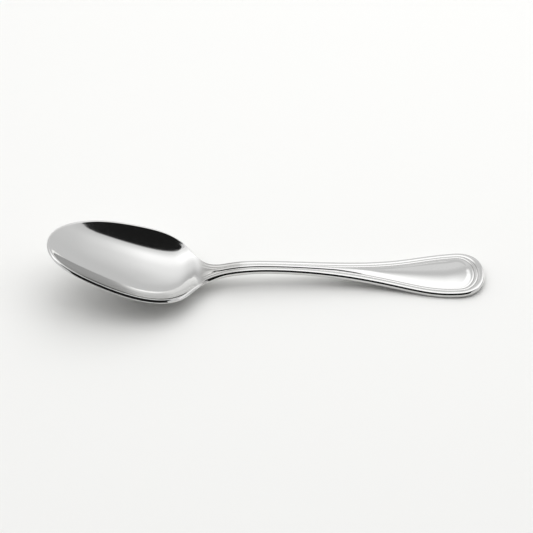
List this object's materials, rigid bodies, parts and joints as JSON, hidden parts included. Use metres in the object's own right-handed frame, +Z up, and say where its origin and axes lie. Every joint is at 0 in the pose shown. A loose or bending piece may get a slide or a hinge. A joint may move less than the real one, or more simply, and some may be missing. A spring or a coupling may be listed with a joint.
{
  "type": "teaspoon",
  "caption": "Polished steel teaspoon with an egg-shaped bowl, an arched narrow stem and a flared handle edged by a bead and a thread, for stirring and eating.",
  "frame": {"origin": "on the table under the middle of the spoon's box", "axes": "+X from the bowl to the handle along the spoon, +Y across it, +Z up out of the hollow"},
  "size_m": [0.138, 0.0332, 0.0204],
  "materials": {
    "polished_steel": "mirror-polished stainless steel"
  },
  "bodies": {
    "root": {"bowl": "polished_steel", "neck": "polished_steel", "stem": "polished_steel", "handle": "polished_steel"}
  },
  "joints": []
}
